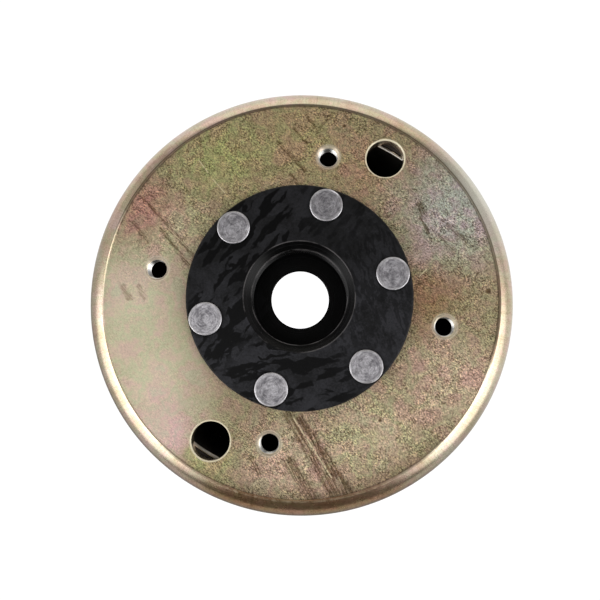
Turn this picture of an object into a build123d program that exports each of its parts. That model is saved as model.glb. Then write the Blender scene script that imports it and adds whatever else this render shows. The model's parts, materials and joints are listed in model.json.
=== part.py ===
from build123d import *
from math import asin, cos, degrees, radians, sin, sqrt
import os

# Magneto flywheel. Millimetres. +Z is the spin axis, out of the closed face, and Z = 0 is the open rim.
# Angles are degrees from +X towards +Y.

# Gaps between parts
CLOSE_GAP = 0.05  # parts pressed or clamped together
FIT_GAP = 0.1  # parts slid together

# Cup
CUP_OD = 118.0
CUP_HEIGHT = 38.0
SHEET = 4.0
CORNER_RADIUS = 6.4  # outer corner of the drawn cup, cut by the turned face
FACE_RADIUS = 54.0  # inner edge of the corner, which stands a little above the turned face
FACE_STEP = 0.3
STEP_RUN = 0.35
RIM_CHAMFER = 0.5
LIP_REACH = 1.1  # the rim rolled in over the liner's flange
LIP_TOP = 2.55
LIP_BOTTOM = 1.4

# Hub
FLANGE_RADIUS = 30.65
FLANGE_PROUD = 2.75
SEAT_DEPTH = 1.0  # the flange sits in a turned seat in the cup's floor
FLANGE_CHAMFER = 0.4
BOSS_RADIUS = 18.0
BOSS_BOTTOM = 7.0
BOSS_CHAMFER = 1.0
THREAD_RADIUS = 12.96  # minor radius of the M27 x 1 puller thread
THREAD_MOUTH_RADIUS = 15.0
NUT_SEAT_DEPTH = 7.0  # below the cup's face
TAPER_SMALL_RADIUS = 8.1
TAPER = 1 / 8  # on diameter
TAPER_CHAMFER = 0.35
KEYWAY_WIDTH = 4.0
KEYWAY_RADIUS = 11.2
KEYWAY_TOP = 26.0
KEYWAY_ANGLE = 253.45  # in line with a rivet

# Rivets
RIVETS = 6
RIVET_CIRCLE = 25.87
RIVET_ANGLE = 73.45
RIVET_SHANK_RADIUS = 3.75
RIVET_HOLE_RADIUS = 3.8
RIVET_TAIL_RADIUS = 4.47
RIVET_TAIL_PROUD = 0.4
RIVET_TAIL_BEVEL = 0.3
RIVET_HEAD_RADIUS = 6.5
RIVET_HEAD_EDGE = 0.4
RIVET_HEAD_DOME = 3.2

# Holes in the floor
FAN_HOLES = 4
FAN_CIRCLE = 40.0
FAN_ANGLE = 78.4
FAN_HOLE_RADIUS = 2.5  # minor radius of M6
FAN_SINK_RADIUS = 3.3
HOLDER_HOLES = 2
HOLDER_CIRCLE = 45.3
HOLDER_ANGLE = 58.3
HOLDER_HOLE_RADIUS = 5.2
HOLDER_SINK_RADIUS = 5.55

# Pickup lug and timing line, on the outside of the wall
LUG_ANGLE = 315.0
LUG_SWEEP = 24.0
LUG_BOTTOM = 12.0
LUG_TOP = 23.0
LUG_PROUD = 1.5
LUG_ROOT = 1.0  # how far the lug runs back into the wall
LUG_ROUND = 1.0
LINE_ANGLE = 285.0
LINE_WIDTH = 0.7
LINE_DEPTH = 0.4
LINE_BOTTOM = 21.0
LINE_TOP = 30.0

# Magnets and what holds them
MAGNETS = 6
MAGNET_SWEEP = 54.8
MAGNET_EDGE = 0.5
SPACER_SWEEP = 4.9
SPACER_EDGE = 0.2
LINER_RADIUS = 48.65
LINER_SHEET = 1.0
LINER_TOP = 33.9
LINER_EDGE = 0.4
LINER_FLANGE = 0.8
MAGNET_TOP = 31.0
END_SPACER_TOP = 33.8
END_SPACER_CHAMFER = 2.2

cup_radius = CUP_OD / 2
inner_radius = cup_radius - SHEET
floor_z = CUP_HEIGHT - SHEET
corner_centre = cup_radius - CORNER_RADIUS
corner_z = CUP_HEIGHT + FACE_STEP - sqrt(CORNER_RADIUS**2 - (FACE_RADIUS - corner_centre) ** 2)
corner_sweep = 90 - degrees(asin((FACE_RADIUS - corner_centre) / CORNER_RADIUS))
inner_corner = CORNER_RADIUS - SHEET
flange_top = CUP_HEIGHT + FLANGE_PROUD
seat_z = CUP_HEIGHT - SEAT_DEPTH
nut_seat_z = CUP_HEIGHT - NUT_SEAT_DEPTH
liner_bottom = LIP_TOP + CLOSE_GAP
magnet_bottom = liner_bottom + LINER_FLANGE + CLOSE_GAP
liner_outer = LINER_RADIUS + LINER_SHEET
pocket_inner = liner_outer + FIT_GAP
pocket_outer = inner_radius - FIT_GAP

os.makedirs("parts", exist_ok=True)


def radial_plane(angle, radius=0.0):
    """The upright plane through the spin axis at an angle: local X points outwards, and local Y up."""
    a = radians(angle)
    origin = (radius * cos(a), radius * sin(a), 0)
    return Plane(origin=origin, x_dir=(cos(a), sin(a), 0), z_dir=(sin(a), -cos(a), 0))


# Cup: a revolved section with the holes cut through its floor
with BuildPart() as rotor_cup:
    with BuildSketch(Plane.XZ):
        with BuildLine():
            outer = CenterArc((corner_centre, corner_z), CORNER_RADIUS, 0, corner_sweep)
            inner = CenterArc((corner_centre, floor_z - inner_corner), inner_corner, 0, 90)
            Polyline(
                outer @ 1,
                (FACE_RADIUS - STEP_RUN, CUP_HEIGHT),
                (FLANGE_RADIUS + FIT_GAP, CUP_HEIGHT),
                (FLANGE_RADIUS + FIT_GAP, seat_z),
                (BOSS_RADIUS + CLOSE_GAP, seat_z),
                (BOSS_RADIUS + CLOSE_GAP, floor_z),
                inner @ 1,
            )
            Polyline(
                inner @ 0,
                (inner_radius, LIP_TOP),
                (inner_radius - LIP_REACH, LIP_TOP),
                (inner_radius - LIP_REACH, LIP_BOTTOM),
                (inner_radius - LIP_REACH + LIP_BOTTOM, 0),
                (cup_radius - RIM_CHAMFER, 0),
                (cup_radius, RIM_CHAMFER),
                outer @ 0,
            )
        make_face()
    revolve(axis=Axis.Z)

    with BuildSketch(radial_plane(LUG_ANGLE - LUG_SWEEP / 2)):
        with BuildLine():
            Polyline(
                (cup_radius - LUG_ROOT, LUG_BOTTOM),
                (cup_radius + LUG_PROUD, LUG_BOTTOM),
                (cup_radius + LUG_PROUD, LUG_TOP),
                (cup_radius - LUG_ROOT, LUG_TOP),
                close=True,
            )
        make_face()
    revolve(axis=Axis.Z, revolution_arc=LUG_SWEEP)
    lug_face = rotor_cup.faces().filter_by(GeomType.CYLINDER).sort_by(lambda f: f.radius)[-1]
    fillet(lug_face.edges(), LUG_ROUND)

    with Locations(Plane.XY.offset(CUP_HEIGHT)):
        with PolarLocations(FAN_CIRCLE, FAN_HOLES, start_angle=FAN_ANGLE):
            CounterSinkHole(FAN_HOLE_RADIUS, FAN_SINK_RADIUS, depth=SHEET, counter_sink_angle=90)
        with PolarLocations(HOLDER_CIRCLE, HOLDER_HOLES, start_angle=HOLDER_ANGLE):
            CounterSinkHole(HOLDER_HOLE_RADIUS, HOLDER_SINK_RADIUS, depth=SHEET, counter_sink_angle=90)
        with PolarLocations(RIVET_CIRCLE, RIVETS, start_angle=RIVET_ANGLE):
            Hole(RIVET_HOLE_RADIUS, depth=SHEET)

    with BuildSketch(radial_plane(LINE_ANGLE, cup_radius).offset(-LINE_WIDTH / 2)):
        with Locations((-LINE_DEPTH, LINE_BOTTOM)):
            Rectangle(2 * LINE_DEPTH, LINE_TOP - LINE_BOTTOM, align=Align.MIN)
    extrude(amount=LINE_WIDTH, mode=Mode.SUBTRACT)
rotor_cup.part.label = "rotor_cup"
export_step(rotor_cup.part, "parts/rotor_cup.step")

# Hub: flange, boss, puller recess and taper bore, turned in one piece
taper_length = nut_seat_z - TAPER_CHAMFER - BOSS_BOTTOM
taper_large_radius = TAPER_SMALL_RADIUS + taper_length * TAPER / 2
with BuildPart() as hub:
    with BuildSketch(Plane.XZ):
        with BuildLine():
            Polyline(
                (THREAD_MOUTH_RADIUS, flange_top),
                (FLANGE_RADIUS - FLANGE_CHAMFER, flange_top),
                (FLANGE_RADIUS, flange_top - FLANGE_CHAMFER),
                (FLANGE_RADIUS, seat_z),
                (BOSS_RADIUS, seat_z),
                (BOSS_RADIUS, BOSS_BOTTOM + BOSS_CHAMFER),
                (BOSS_RADIUS - BOSS_CHAMFER, BOSS_BOTTOM),
                (taper_large_radius, BOSS_BOTTOM),
                (TAPER_SMALL_RADIUS, nut_seat_z - TAPER_CHAMFER),
                (TAPER_SMALL_RADIUS + TAPER_CHAMFER, nut_seat_z),
                (THREAD_RADIUS, nut_seat_z),
                (THREAD_RADIUS, flange_top - (THREAD_MOUTH_RADIUS - THREAD_RADIUS)),
                close=True,
            )
        make_face()
    revolve(axis=Axis.Z)

    with Locations(Plane.XY.offset(flange_top)):
        with PolarLocations(RIVET_CIRCLE, RIVETS, start_angle=RIVET_ANGLE):
            CounterSinkHole(
                RIVET_HOLE_RADIUS,
                RIVET_TAIL_RADIUS + CLOSE_GAP,
                depth=FLANGE_PROUD + SEAT_DEPTH,
                counter_sink_angle=90,
            )

    with BuildSketch(Plane.XY.offset(BOSS_BOTTOM)):
        with PolarLocations(KEYWAY_RADIUS / 2, 1, start_angle=KEYWAY_ANGLE):
            Rectangle(KEYWAY_RADIUS, KEYWAY_WIDTH)
    extrude(amount=KEYWAY_TOP - BOSS_BOTTOM, mode=Mode.SUBTRACT)
hub.part.label = "hub"
export_step(hub.part, "parts/hub.step")

# Rivets: a domed head inside the cup, and a tail set into the flange's countersink
tail_top = flange_top + RIVET_TAIL_PROUD
sink_depth = RIVET_TAIL_RADIUS - RIVET_SHANK_RADIUS
head_bottom = floor_z - RIVET_HEAD_EDGE - RIVET_HEAD_DOME
dome_radius = (RIVET_HEAD_RADIUS**2 + RIVET_HEAD_DOME**2) / (2 * RIVET_HEAD_DOME)
dome_sweep = degrees(asin(RIVET_HEAD_RADIUS / dome_radius))
for n in range(RIVETS):
    angle = RIVET_ANGLE + n * 360 / RIVETS
    place = radial_plane(angle, RIVET_CIRCLE)
    with BuildPart() as rivet:
        with BuildSketch(place):
            with BuildLine():
                dome = CenterArc((0, head_bottom + dome_radius), dome_radius, -90, dome_sweep)
                Polyline(
                    dome @ 0,
                    (0, tail_top),
                    (RIVET_TAIL_RADIUS - RIVET_TAIL_BEVEL, tail_top),
                    (RIVET_TAIL_RADIUS, tail_top - RIVET_TAIL_BEVEL),
                    (RIVET_TAIL_RADIUS, flange_top),
                    (RIVET_SHANK_RADIUS, flange_top - sink_depth),
                    (RIVET_SHANK_RADIUS, floor_z),
                    (RIVET_HEAD_RADIUS, floor_z),
                    dome @ 1,
                )
            make_face()
        revolve(axis=Axis(place.origin, (0, 0, 1)))
    name = f"hub_rivet_{n + 1}"
    rivet.part.label = name
    export_step(rivet.part, f"parts/{name}.step")


def pocket_block(name, angle, sweep, low, high, edge):
    """An arc-shaped block that fills the pocket between the liner and the cup's wall."""
    with BuildPart() as block:
        with BuildSketch(radial_plane(angle - sweep / 2)):
            with BuildLine():
                Polyline(
                    (pocket_inner, low),
                    (pocket_outer, low),
                    (pocket_outer, high),
                    (pocket_inner, high),
                    close=True,
                )
            make_face()
        revolve(axis=Axis.Z, revolution_arc=sweep)
        chamfer(block.edges(), edge)
    block.part.label = name
    export_step(block.part, f"parts/{name}.step")


# Magnets, and the plastic spacers between them
for n in range(MAGNETS):
    angle = n * 360 / MAGNETS
    gap_angle = angle + 180 / MAGNETS
    pocket_block(f"magnet_{n + 1}", angle, MAGNET_SWEEP, magnet_bottom, MAGNET_TOP, MAGNET_EDGE)
    pocket_block(f"magnet_spacer_{n + 1}", gap_angle, SPACER_SWEEP, magnet_bottom, MAGNET_TOP, SPACER_EDGE)

# Liner: a sheet sleeve inside the magnets, flanged out under them at the open end
with BuildPart() as magnet_liner:
    with BuildSketch(Plane.XZ):
        with BuildLine():
            Polyline(
                (LINER_RADIUS, liner_bottom),
                (pocket_outer, liner_bottom),
                (pocket_outer, liner_bottom + LINER_FLANGE),
                (liner_outer, liner_bottom + LINER_FLANGE),
                (liner_outer, LINER_TOP),
                (LINER_RADIUS, LINER_TOP),
                close=True,
            )
        make_face()
    revolve(axis=Axis.Z)
    fillet(magnet_liner.edges().group_by(Axis.Z)[-1], LINER_EDGE)
    inner_mouth = magnet_liner.edges().group_by(Axis.Z)[0].sort_by(SortBy.RADIUS)[0]
    fillet(inner_mouth, LINER_EDGE)
magnet_liner.part.label = "magnet_liner"
export_step(magnet_liner.part, "parts/magnet_liner.step")

# End spacer: a plastic ring between the magnets and the cup's floor
with BuildPart() as end_spacer:
    with BuildSketch(Plane.XZ):
        with BuildLine():
            Polyline(
                (pocket_inner, MAGNET_TOP + FIT_GAP),
                (pocket_outer, MAGNET_TOP + FIT_GAP),
                (pocket_outer, END_SPACER_TOP - END_SPACER_CHAMFER),
                (pocket_outer - END_SPACER_CHAMFER, END_SPACER_TOP),
                (pocket_inner, END_SPACER_TOP),
                close=True,
            )
        make_face()
    revolve(axis=Axis.Z)
end_spacer.part.label = "end_spacer"
export_step(end_spacer.part, "parts/end_spacer.step")
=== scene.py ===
import json
from colorsys import hsv_to_rgb
from math import asin, atan2, cos, degrees, exp, hypot, pi, radians, sin, sqrt, tan, tau
from random import Random

import bmesh
import bpy
from mathutils import Matrix, Vector


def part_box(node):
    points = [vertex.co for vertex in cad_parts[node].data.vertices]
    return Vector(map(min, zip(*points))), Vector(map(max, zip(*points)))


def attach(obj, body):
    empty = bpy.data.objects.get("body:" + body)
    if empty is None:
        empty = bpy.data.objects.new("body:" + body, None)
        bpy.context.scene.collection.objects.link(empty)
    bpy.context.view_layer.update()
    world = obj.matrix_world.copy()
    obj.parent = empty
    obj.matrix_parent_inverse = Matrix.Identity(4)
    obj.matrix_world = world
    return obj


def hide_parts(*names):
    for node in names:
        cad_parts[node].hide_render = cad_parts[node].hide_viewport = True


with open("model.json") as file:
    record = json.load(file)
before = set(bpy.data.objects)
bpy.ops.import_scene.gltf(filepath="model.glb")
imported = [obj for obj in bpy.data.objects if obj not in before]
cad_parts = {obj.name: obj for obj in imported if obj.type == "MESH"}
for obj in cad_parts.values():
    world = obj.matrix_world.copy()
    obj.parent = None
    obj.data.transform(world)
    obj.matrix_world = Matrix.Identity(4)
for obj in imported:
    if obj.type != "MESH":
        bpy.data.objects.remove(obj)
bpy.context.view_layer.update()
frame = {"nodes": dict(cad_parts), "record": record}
scene = bpy.context.scene
cad_nodes = frame["nodes"]
mounts = {m["name"]: m for m in frame["record"]["mounts"]}

# Lengths below are in millimetres in the row frame, and angles in degrees from +X towards +Y
MM = 0.001
hub_low, hub_high = (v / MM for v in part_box("hub"))
_, cup_high = (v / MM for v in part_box("rotor_cup"))
FACE_Z = mounts["fan_seat"]["pos_m"][2] / MM
NUT_SEAT_Z = mounts["nut_seat"]["pos_m"][2] / MM
HUB_TOP = hub_high.z
HUB_RADIUS = hub_high.x
BOSS_BOTTOM = hub_low.z
CUP_RADIUS = cup_high.y
THREAD_MINOR = mounts["puller_thread"]["dims"]["r_mm"]
FAN_CIRCLE = mounts["fan_bolts"]["dims"]["pcd_mm"] / 2
FAN_HOLE = mounts["fan_bolts"]["dims"]["hole_r_mm"]
HOLDER_CIRCLE = mounts["holder_holes"]["dims"]["pcd_mm"] / 2
HOLDER_HOLE = mounts["holder_holes"]["dims"]["hole_r_mm"]

# Sizes that the CAD source has and the record doesn't state
SHEET = 4.0
CORNER_RADIUS = 6.4
TURNED_RADIUS = 54.0
TURNED_STEP = 0.3
STEP_RUN = 0.35
LIP_REACH, LIP_TOP, LIP_BOTTOM = 1.1, 2.55, 1.4
SEAT_DEPTH = 1.0
BOSS_RADIUS = 18.0
MOUTH_RADIUS = 15.0
TAPER_RADIUS, TAPER_SLOPE, TAPER_CHAMFER = 8.1, 1 / 16, 0.35
KEYWAY_RADIUS, KEYWAY_WIDTH, KEYWAY_TOP, KEYWAY_ANGLE = 11.2, 4.0, 26.0, 253.45
RIVET_CIRCLE, RIVET_ANGLE, RIVETS = 25.87, 73.45, 6
SHANK_RADIUS, TAIL_RADIUS, TAIL_PROUD = 3.75, 4.47, 0.4
HEAD_RADIUS, HEAD_EDGE, HEAD_DOME = 6.5, 0.4, 3.2
FAN_ANGLE, FAN_SINK = 78.4, 3.3
HOLDER_ANGLE, HOLDER_SINK = 58.3, 5.55
LUG_ANGLE, LUG_SWEEP, LUG_LOW, LUG_HIGH, LUG_PROUD = 315.0, 24.0, 12.0, 23.0, 1.5
LINE_ANGLE, LINE_WIDTH, LINE_DEPTH, LINE_LOW, LINE_HIGH = 285.0, 0.7, 0.4, 21.0, 30.0
LUG_ROOT, LUG_ROUND = 1.0, 1.1
FAN_PITCH, FAN_THREAD = 1.0, 0.5
PULLER_PITCH, PULLER_THREAD = 1.0, 0.54
CLEARANCE = 0.05
TAIL_ROUND = 0.27
INNER_RADIUS = CUP_RADIUS - SHEET
FLOOR_Z = FACE_Z - SHEET
SEAT_Z = FACE_Z - SEAT_DEPTH


def polar(radius, angle):
    """The x and y of a place on a circle about the axis."""
    return radius * cos(radians(angle)), radius * sin(radians(angle))


# ---------------------------------------------------------------- meshes
def place(name, mesh):
    obj = bpy.data.objects.new(name, mesh)
    scene.collection.objects.link(obj)
    return obj


def mesh_from(name, work):
    mesh = bpy.data.meshes.new(name)
    bmesh.ops.recalc_face_normals(work, faces=work.faces)
    work.to_mesh(mesh)
    work.free()
    return mesh


def arc(x, z, radius, start, end, steps):
    """Outline corners along an arc."""
    turns = [start + (end - start) * k / steps for k in range(steps + 1)]
    return [(x + radius * cos(radians(t)), z + radius * sin(radians(t)), 0) for t in turns]


def rounded(corners, steps=4):
    """A closed outline through (r, z, rounding) corners, each rounded by its own radius."""
    outline = []
    for i, (r, z, radius) in enumerate(corners):
        corner = Vector((r, z))
        if not radius:
            outline.append((r, z))
            continue
        before = (Vector(corners[i - 1][:2]) - corner).normalized()
        after = (Vector(corners[(i + 1) % len(corners)][:2]) - corner).normalized()
        half = before.angle(after) / 2
        centre = corner + (before + after).normalized() * radius / sin(half)
        start = corner + before * radius / tan(half) - centre
        end = corner + after * radius / tan(half) - centre
        first = atan2(start.y, start.x)
        sweep = (atan2(end.y, end.x) - first + pi) % tau - pi
        for k in range(steps + 1):
            t = first + sweep * k / steps
            outline.append((centre.x + radius * cos(t), centre.y + radius * sin(t)))
    return outline


def lathe(name, outline, segments, shape=None, centre=(0, 0)):
    """Turns a closed outline of (r, z) about an upright axis. shape(r, z, turn) moves a point's r and z."""
    work = bmesh.new()
    rings = []
    for n in range(segments):
        c, s = cos(tau * n / segments), sin(tau * n / segments)
        ring = [shape(r, z, n / segments) if shape else (r, z) for r, z in outline]
        rings.append([
            work.verts.new(((centre[0] + r * c) * MM, (centre[1] + r * s) * MM, z * MM)) for r, z in ring
        ])
    for n in range(segments):
        a, b = rings[n - 1], rings[n]
        for k in range(len(outline)):
            work.faces.new((a[k - 1], b[k - 1], b[k], a[k]))
    bmesh.ops.remove_doubles(work, verts=work.verts, dist=1e-7)
    bmesh.ops.delete(work, geom=[e for e in work.edges if not e.link_faces], context="EDGES")
    return place(name, mesh_from(name, work))


def block(centre_radius, angle, depth, width, low, high):
    """A box that stands across a radius."""
    work = bmesh.new()
    bmesh.ops.create_cube(work, size=1.0)
    size = Matrix.Diagonal((depth * MM, width * MM, (high - low) * MM, 1))
    middle = Matrix.Translation((centre_radius * MM, 0, (low + high) / 2 * MM))
    work.transform(Matrix.Rotation(radians(angle), 4, "Z") @ middle @ size)
    return place("block", mesh_from("block", work))


def boolean(target, tools, operation="DIFFERENCE"):
    """Cuts every tool from the target, or adds it."""
    work = bmesh.new()
    for tool in tools:
        work.from_mesh(tool.data)
        bpy.data.objects.remove(tool)
    tool = place("tool", mesh_from("tool", work))
    modifier = target.modifiers.new("boolean", "BOOLEAN")
    modifier.operation, modifier.solver, modifier.object = operation, "EXACT", tool
    evaluated = target.evaluated_get(bpy.context.evaluated_depsgraph_get())
    target.data = bpy.data.meshes.new_from_object(evaluated)
    target.modifiers.clear()
    bpy.data.objects.remove(tool)


def screw(hole, depth, pitch, low, high, segments, centre=(0, 0), hand=1):
    """A threaded rod that cuts an inside thread in the wall of a hole."""
    rows = round((high - low) / pitch * 10)
    wall = [(hole, low + (high - low) * k / rows) for k in range(rows + 1)]

    def shape(r, z, turn):
        wave = abs(2 * ((z / pitch + hand * turn) % 1.0) - 1)
        return (r + depth * min(1.0, (wave - 0.25) / 0.625) if r else r, z)

    return lathe("screw", [(0, low), *wall, (0, high)], segments, shape, centre)


def ring_of(radius, count, first):
    return [polar(radius, first + 360 * n / count) for n in range(count)]


def finish_piece(obj, name, slot, *stands_for):
    obj.name = name
    obj.data.name = name
    obj.data.shade_smooth()
    obj.data.set_sharp_from_angle(angle=radians(32))
    weighted = obj.modifiers.new("weighted", "WEIGHTED_NORMAL")
    weighted.keep_sharp = True
    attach(obj, "root")
    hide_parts(*stands_for)
    return obj


def make_lug():
    """The pickup lug, with its outer edges rounded over."""
    work = bmesh.new()
    inside, outside = CUP_RADIUS - LUG_ROOT, CUP_RADIUS + LUG_PROUD
    corners = ((inside, LUG_LOW), (outside, LUG_LOW), (outside, LUG_HIGH), (inside, LUG_HIGH))
    steps = 24
    rings = []
    for n in range(steps + 1):
        angle = LUG_ANGLE + LUG_SWEEP * (n / steps - 0.5)
        rings.append([work.verts.new((*(v * MM for v in polar(r, angle)), z * MM)) for r, z in corners])
    for a, b in zip(rings, rings[1:]):
        for k in range(4):
            work.faces.new((a[k - 1], a[k], b[k], b[k - 1]))
    work.faces.new(rings[0])
    work.faces.new(rings[-1])
    bmesh.ops.recalc_face_normals(work, faces=work.faces)
    edges = [
        e for e in work.edges
        if all(hypot(*v.co.xy) > (outside - 0.1) * MM for v in e.verts) and e.calc_face_angle(0) > 1
    ]
    bmesh.ops.bevel(work, geom=edges, offset=LUG_ROUND * MM, segments=6, profile=0.5, affect="EDGES")
    return place("lug", mesh_from("lug", work))


def make_cup():
    """The drawn cup with its lug, holes, real fan threads and timing line."""
    corner_x = CUP_RADIUS - CORNER_RADIUS
    over = TURNED_RADIUS - corner_x
    corner_z = FACE_Z + TURNED_STEP - sqrt(CORNER_RADIUS**2 - over**2)
    sweep = 90 - degrees(asin(over / CORNER_RADIUS))
    inside = CORNER_RADIUS - SHEET
    lip = INNER_RADIUS - LIP_REACH
    boss_hole, seat = BOSS_RADIUS + CLEARANCE, HUB_RADIUS + 2 * CLEARANCE
    cup = lathe("cup", rounded([
        (seat, FACE_Z, 0.12), (seat, SEAT_Z, 0), (boss_hole, SEAT_Z, 0), (boss_hole, FLOOR_Z, 0.2),
        (33, FLOOR_Z, 0), (46, FLOOR_Z, 0),
        *arc(INNER_RADIUS - inside, FLOOR_Z - inside, inside, 90, 0, 8),
        (INNER_RADIUS, LIP_TOP, 0), (lip, LIP_TOP, 0.25), (lip, LIP_BOTTOM, 0.3),
        (lip + LIP_BOTTOM, 0, 0.3), (CUP_RADIUS - 0.5, 0, 0.25), (CUP_RADIUS, 0.5, 0.25),
        (CUP_RADIUS, 8, 0), (CUP_RADIUS, 16, 0), (CUP_RADIUS, 24, 0),
        *arc(corner_x, corner_z, CORNER_RADIUS, 0, sweep, 20),
        (TURNED_RADIUS - STEP_RUN, FACE_Z, 0.06), (50.5, FACE_Z, 0), (40, FACE_Z, 0), (33, FACE_Z, 0),
    ]), 256)
    boolean(cup, [make_lug()], "UNION")
    low, high = FLOOR_Z - 1, FACE_Z + 1
    fan_holes = ring_of(FAN_CIRCLE, 4, FAN_ANGLE)
    sink = rounded([
        (0, low, 0), (FAN_HOLE, low, 0), (FAN_HOLE, FACE_Z - FAN_SINK + FAN_HOLE, 0),
        (FAN_SINK, FACE_Z, 0.15), (FAN_SINK, high, 0), (0, high, 0),
    ])
    holder = rounded([
        (0, low, 0), (HOLDER_HOLE, low, 0), (HOLDER_HOLE, FACE_Z - HOLDER_SINK + HOLDER_HOLE, 0.1),
        (HOLDER_SINK, FACE_Z, 0.1), (HOLDER_SINK, high, 0), (0, high, 0),
    ])
    shank = SHANK_RADIUS + CLEARANCE
    rivet = [(0, low), (shank, low), (shank, high), (0, high)]
    cutters = [lathe("sink", sink, 48, centre=at) for at in fan_holes]
    cutters += [lathe("holder", holder, 96, centre=at) for at in ring_of(HOLDER_CIRCLE, 2, HOLDER_ANGLE)]
    cutters += [lathe("rivet", rivet, 48, centre=at) for at in ring_of(RIVET_CIRCLE, RIVETS, RIVET_ANGLE)]
    cutters.append(block(CUP_RADIUS, LINE_ANGLE, 2 * LINE_DEPTH, LINE_WIDTH, LINE_LOW, LINE_HIGH))
    boolean(cup, cutters)
    boolean(cup, [screw(FAN_HOLE, FAN_THREAD, FAN_PITCH, low - 0.3, high, 48, at) for at in fan_holes])
    return finish_piece(cup, "rotor_cup_turned", "yellow_zinc", "rotor_cup")


def make_hub():
    """The hub with its flange, boss, taper, keyway and real puller thread."""
    taper_low = TAPER_RADIUS + (NUT_SEAT_Z - TAPER_CHAMFER - BOSS_BOTTOM) * TAPER_SLOPE
    relief, relief_top = THREAD_MINOR + 0.6, NUT_SEAT_Z + 1.1
    hub = lathe("hub", rounded([
        (MOUTH_RADIUS, HUB_TOP, 0.3), (HUB_RADIUS - 0.4, HUB_TOP, 0.15), (HUB_RADIUS, HUB_TOP - 0.4, 0.15),
        (HUB_RADIUS, SEAT_Z, 0), (BOSS_RADIUS, SEAT_Z, 0), (BOSS_RADIUS, BOSS_BOTTOM + 1, 0.3),
        (BOSS_RADIUS - 1, BOSS_BOTTOM, 0.3), (taper_low, BOSS_BOTTOM, 0.2),
        (TAPER_RADIUS, NUT_SEAT_Z - TAPER_CHAMFER, 0.05), (TAPER_RADIUS + TAPER_CHAMFER, NUT_SEAT_Z, 0.05),
        (relief, NUT_SEAT_Z, 0.2), (relief, relief_top, 0.15), (THREAD_MINOR, relief_top + 0.6, 0),
        (THREAD_MINOR, HUB_TOP - MOUTH_RADIUS + THREAD_MINOR, 0.12),
    ]), 192)
    low, high = SEAT_Z - 1, HUB_TOP + 1
    hole, sink = SHANK_RADIUS + CLEARANCE, TAIL_RADIUS + CLEARANCE
    rivet = [
        (0, low), (hole, low), (hole, HUB_TOP - sink + hole), (sink, HUB_TOP), (sink, high), (0, high),
    ]
    cutters = [lathe("rivet", rivet, 64, centre=at) for at in ring_of(RIVET_CIRCLE, RIVETS, RIVET_ANGLE)]
    cutters.append(block(
        KEYWAY_RADIUS / 2, KEYWAY_ANGLE, KEYWAY_RADIUS, KEYWAY_WIDTH, BOSS_BOTTOM - 1, KEYWAY_TOP,
    ))
    boolean(hub, cutters)
    thread = screw(THREAD_MINOR, PULLER_THREAD, PULLER_PITCH, relief_top, HUB_TOP + 0.4, 192, hand=-1)
    boolean(hub, [thread])
    return finish_piece(hub, "hub_turned", "black_oxide", "hub")


def make_rivet(number):
    """A rivet whose tail was formed by a rolling punch, with shallow rings and a few soft dents."""
    dice = Random(number)
    tail_top = HUB_TOP + TAIL_PROUD
    dents = [
        (dice.uniform(0, 360), dice.uniform(1.2, 3.9), dice.uniform(0.8, 1.6), dice.uniform(-0.07, 0.05))
        for _ in range(5)
    ]
    lean, lean_angle = dice.uniform(0.01, 0.035), dice.uniform(0, tau)

    def shape(r, z, turn):
        if z < tail_top - 0.02 or r > TAIL_RADIUS - 0.25:
            return r, z
        x, y = polar(r, 360 * turn)
        z -= 0.05 * (1 - (r / TAIL_RADIUS) ** 2) - 0.006 * sin(r * 9 + number)
        z += lean * (r / TAIL_RADIUS) * cos(tau * turn - lean_angle)
        for angle, at, size, depth in dents:
            dx, dy = polar(at, angle)
            z += depth * exp(-((x - dx) ** 2 + (y - dy) ** 2) / size**2)
        return r, min(z, tail_top)

    rings = [((TAIL_RADIUS - TAIL_ROUND) * k / 24, tail_top) for k in range(25)]
    dome = (HEAD_RADIUS**2 + HEAD_DOME**2) / (2 * HEAD_DOME)
    head_low = FLOOR_Z - HEAD_EDGE - HEAD_DOME
    reach = degrees(asin(HEAD_RADIUS / dome))
    edge = rounded([
        (TAIL_RADIUS - TAIL_ROUND, tail_top, 0), (TAIL_RADIUS, tail_top - 0.02, 0.2),
        (TAIL_RADIUS, HUB_TOP, 0),
        (SHANK_RADIUS, HUB_TOP - TAIL_RADIUS + SHANK_RADIUS, 0), (SHANK_RADIUS, FLOOR_Z, 0),
        (HEAD_RADIUS, FLOOR_Z, 0.12), *arc(0, head_low + dome, dome, reach - 90, -90, 10),
    ])
    at = ring_of(RIVET_CIRCLE, RIVETS, RIVET_ANGLE)[number - 1]
    rivet = lathe("rivet", rings[:-1] + edge, 72, shape, at)
    return finish_piece(rivet, f"rivet_{number}_formed", "rivet_steel", f"hub_rivet_{number}")


made = [make_cup(), make_hub(), *(make_rivet(n + 1) for n in range(RIVETS))]
MADE_FOR = ["rotor_cup", "hub", *(f"hub_rivet_{n + 1}" for n in range(RIVETS))]


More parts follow.
